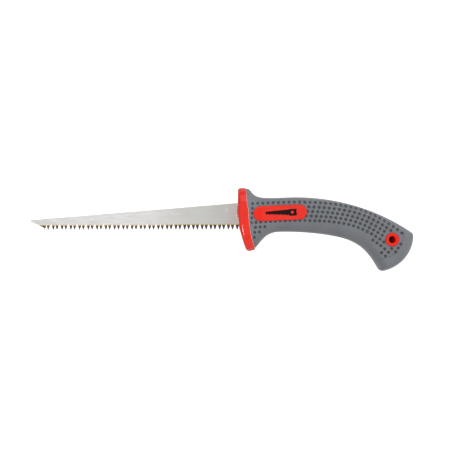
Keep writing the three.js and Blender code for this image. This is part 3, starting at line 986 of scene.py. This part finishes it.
def steel():
    """Satin steel: a painted reflection that is lighter over the blade's middle stretch, a straw and brown heat
    line at the gullets, dark hardened teeth, a bright ground nose.
    """
    s = Shader("blade_steel")
    x = s.math("SUBTRACT", s.axis("X"), float(ORIGIN[0]))
    y = s.math("SUBTRACT", s.axis("Y"), float(ORIGIN[1]))
    grain = s.noise(2600, 3, stretch=(0.05, 1.0, 1.0))
    cloud = s.noise(60, 3)
    # painted reflection: the base colour is lighter over the middle of the blade and darker towards the tip and
    # towards the guard, standing in for how its sheen falls along the length
    body = s.blend(s.between(x, -0.15, -0.08), srgb(203, 202, 201), srgb(215, 214, 213))
    body = s.blend(s.between(x, -0.07, -0.03, smooth_ends=True), body, srgb(202, 202, 198))
    body = s.blend(s.between(cloud, 0.3, 0.75, 0.0, 0.2), body, srgb(186, 182, 177))
    body = s.blend(s.between(grain, 0.35, 0.75, 0.0, 0.12), body, srgb(150, 147, 142))
    scuff = s.noise(420, 2, stretch=(1.0, 0.3, 1.0))
    body = s.blend(s.between(scuff, 0.68, 0.78, 0.0, 0.5), body, srgb(222, 221, 219))
    ragged = s.math("ADD", y, s.between(s.noise(700, 2), 0.2, 0.8, -0.0002, 0.0002))
    ragged = s.math("SUBTRACT", ragged, s.between(x, -0.062, -0.04, 0.0, 0.0006, smooth_ends=True))
    straw = s.blend(s.between(ragged, 0.00025, -0.00015, smooth_ends=True), body, srgb(196, 172, 120))
    brown = s.blend(s.between(ragged, -0.0003, -0.0009, smooth_ends=True), straw, srgb(74, 58, 52))
    hard = s.blend(s.between(ragged, -0.0009, -0.0015), brown, srgb(84, 80, 82))
    worn_tip = s.math("MULTIPLY", s.between(y, -0.0018, -0.0034), s.between(x, -0.02, -0.12, 0.15, 0.6))
    tooth = s.blend(worn_tip, hard, srgb(176, 170, 166))
    inward_x, inward_y = 0.433, 0.902  # from the slanted edge into the blade, one unit long
    in_from_nose = s.math(
        "ADD",
        s.math("MULTIPLY", s.math("SUBTRACT", x, NOSE[0][0] * MM), inward_x),
        s.math("MULTIPLY", s.math("SUBTRACT", y, NOSE[0][1] * MM), inward_y),
    )
    bright = s.blend(s.between(in_from_nose, 0.0, NOSE_BEVEL * MM), srgb(255, 255, 254), srgb(236, 235, 233))
    bevel = s.between(in_from_nose, NOSE_BEVEL * 1.1 * MM, NOSE_BEVEL * 0.8 * MM)
    s.link(s.blend(bevel, tooth, bright), s.bsdf.inputs["Base Color"])
    s.bsdf.inputs["Metallic"].default_value = 1.0
    s.link(s.between(grain, 0.3, 0.7, 0.46, 0.56), s.bsdf.inputs["Roughness"])
    s.link(s.bump(grain, 0.000006, 0.3), s.bsdf.inputs["Normal"])
    return s.material


def red_plastic():
    """Semi-gloss moulded plastic: faint flow clouds, fine texture, and a ragged pale painted highlight along
    the guard's rear edge.
    """
    s = Shader("red_plastic")
    cloud = s.noise(60, 3)
    speck = s.noise(1800, 2)
    base = s.blend(s.between(cloud, 0.35, 0.7), srgb(251, 44, 23), srgb(246, 34, 14))
    base = s.blend(s.between(s.noise(500, 4), 0.62, 0.8, 0.0, 0.3), base, srgb(250, 84, 68))
    # painted highlight: a near-white ragged line along the guard's rear edge, where the edge catches the light
    painted_highlight = s.node("ShaderNodeAttribute", attribute_name="painted_highlight").outputs["Fac"]
    ragged = s.math("ADD", painted_highlight, s.between(s.noise(900, 2), 0.3, 0.7, -0.2, 0.2))
    base = s.blend(s.between(ragged, 0.3, 0.7, 0.0, 0.9), base, srgb(246, 228, 222))
    s.link(base, s.bsdf.inputs["Base Color"])
    s.link(s.between(speck, 0.3, 0.7, 0.34, 0.46), s.bsdf.inputs["Roughness"])
    s.link(s.bump(speck, 0.00002, 0.2, after=s.bump(cloud, 0.0002, 0.04)), s.bsdf.inputs["Normal"])
    s.bsdf.inputs["Coat Weight"].default_value = 0.8
    s.bsdf.inputs["Coat Roughness"].default_value = 0.07
    s.bsdf.inputs["IOR"].default_value = 1.2
    return s.material


def soft_grey():
    """Matte soft-touch rubber: fine spark texture, handling marks, and painted shade that darkens the pits."""
    s = Shader("grey_soft_grip")
    cloud = s.noise(70, 4)
    grain = s.noise(3200, 3, roughness=0.6)
    base = s.blend(s.between(cloud, 0.3, 0.72), srgb(126, 129, 134), srgb(115, 118, 123))
    base = s.blend(s.between(grain, 0.4, 0.7, 0.0, 0.2), base, srgb(140, 144, 150))
    sunk = s.node("ShaderNodeAttribute", attribute_name="sunk").outputs["Fac"]
    # painted shade: the deeper below the skin a point lies, in the pits and the other recesses of the skin, the
    # darker its base colour
    base = s.blend(s.between(sunk, 0.1, 0.5, 0.0, 0.62), base, srgb(58, 61, 67))
    s.link(base, s.bsdf.inputs["Base Color"])
    s.link(s.between(grain, 0.3, 0.7, 0.55, 0.72), s.bsdf.inputs["Roughness"])
    s.link(s.bump(grain, 0.00005, 0.5), s.bsdf.inputs["Normal"])
    s.bsdf.inputs["IOR"].default_value = 1.45
    s.bsdf.inputs["Sheen Weight"].default_value = 0.7
    s.bsdf.inputs["Sheen Roughness"].default_value = 0.3
    return s.material


def black_ink():
    """Pad-printed ink, a little worn through in specks."""
    s = Shader("black_ink")
    worn = s.noise(1500, 3)
    base = s.blend(s.between(worn, 0.6, 0.8, 0.0, 0.4), srgb(16, 11, 12), srgb(96, 30, 26))
    s.link(base, s.bsdf.inputs["Base Color"])
    s.bsdf.inputs["IOR"].default_value = 1.25
    s.link(s.between(worn, 0.3, 0.7, 0.4, 0.55), s.bsdf.inputs["Roughness"])
    return s.material


# ---------------------------------------------------------------- pieces

build_blade(steel())
build_core(red_plastic())
build_grip(soft_grey())
ink = black_ink()
build_ink(1, "ink_mark_left", "badge_print_left", ink)
build_ink(-1, "ink_mark_right", "badge_print_right", ink)

# ---------------------------------------------------------------- stage and light

FLOOR_HALF = 2.0
FLOOR_WHITE = 0.65  # the share of light that the table gives back
FLOOR_GLOW = 0.9  # seen by the camera only, so that the table shows white and still doesn't light the saw
AIR_LIGHT = 0.3
LIGHT_DISTANCE = 1.0
# name, compass angle from +X towards +Y, height angle (degrees), width, length (m), power (W)
SOFT_LIGHTS = [
    ("soft_right", 12, 24, 1.2, 0.7, 3.9),
    ("soft_far", 80, 42, 1.2, 0.9, 3.3),
    ("soft_above_left", 180, 74, 0.9, 0.9, 0.6),
    ("soft_near", 270, 28, 1.6, 1.0, 2.1),
]
# two narrow lamps in a bent line draw the thin bright line on the guard's slanted front edge:
# start and end (x, y in m) and power (W)
TUBES = [((-0.095, -0.05), (-0.42, -0.17), 1.3), ((-0.42, -0.17), (-0.66, -0.68), 1.8)]
TUBE_HEIGHT = 0.96
TUBE_WIDTH = 0.1


def make_floor():
    """A pale table."""
    mesh = bpy.data.meshes.new("floor")
    corners = [(-FLOOR_HALF, -FLOOR_HALF, 0), (FLOOR_HALF, -FLOOR_HALF, 0)]
    corners += [(FLOOR_HALF, FLOOR_HALF, 0), (-FLOOR_HALF, FLOOR_HALF, 0)]
    mesh.from_pydata(corners, [], [(0, 1, 2, 3)])
    floor = bpy.data.objects.new("floor", mesh)
    bpy.context.scene.collection.objects.link(floor)
    s = Shader("floor")
    s.bsdf.inputs["Base Color"].default_value = (FLOOR_WHITE, FLOOR_WHITE, FLOOR_WHITE, 1)
    s.bsdf.inputs["Roughness"].default_value = 0.9
    s.bsdf.inputs["Specular IOR Level"].default_value = 0.0
    s.bsdf.inputs["Emission Color"].default_value = (1, 1, 1, 1)
    seen = s.node("ShaderNodeLightPath").outputs["Is Camera Ray"]
    s.link(s.math("MULTIPLY", seen, FLOOR_GLOW), s.bsdf.inputs["Emission Strength"])
    mesh.materials.append(s.material)


def make_world():
    """White to the camera, and an even weaker light to everything else."""
    world = bpy.data.worlds.new("studio")
    world.use_nodes = True
    nodes, links = world.node_tree.nodes, world.node_tree.links
    nodes["Background"].inputs["Color"].default_value = (1, 1, 1, 1)
    seen = nodes.new("ShaderNodeLightPath").outputs["Is Camera Ray"]
    strength = nodes.new("ShaderNodeMapRange")
    strength.inputs["To Min"].default_value = AIR_LIGHT
    strength.inputs["To Max"].default_value = 1.0
    links.new(seen, strength.inputs["Value"])
    links.new(strength.outputs["Result"], nodes["Background"].inputs["Strength"])
    bpy.context.scene.world = world


def make_light(name, width, length, power):
    """A flat lamp at the origin that shines down."""
    data = bpy.data.lights.new(name, "AREA")
    data.shape = "RECTANGLE"
    data.size, data.size_y = width, length
    data.energy = power
    light = bpy.data.objects.new(name, data)
    bpy.context.scene.collection.objects.link(light)
    return light


def make_soft_light(name, compass, height, width, length, power):
    light = make_light(name, width, length, power)
    compass, height = math.radians(compass), math.radians(height)
    flat = math.cos(height)
    way = Vector((flat * math.cos(compass), flat * math.sin(compass), math.sin(height)))
    light.location = way * LIGHT_DISTANCE
    light.rotation_mode = "QUATERNION"
    light.rotation_quaternion = (-way).to_track_quat("-Z", "Y")


def make_tube(name, start, end, power):
    """A narrow lamp that lies level from start to end."""
    start, end = Vector(start), Vector(end)
    along = end - start
    light = make_light(name, TUBE_WIDTH, along.length, power)
    light.location = (*((start + end) / 2), TUBE_HEIGHT)
    light.rotation_euler = (0, 0, math.atan2(along.y, along.x) - math.pi / 2)


make_floor()
for soft_light in SOFT_LIGHTS:
    make_soft_light(*soft_light)
for tube_number, tube in enumerate(TUBES):
    make_tube(f"tube_{tube_number}", *tube)
make_world()
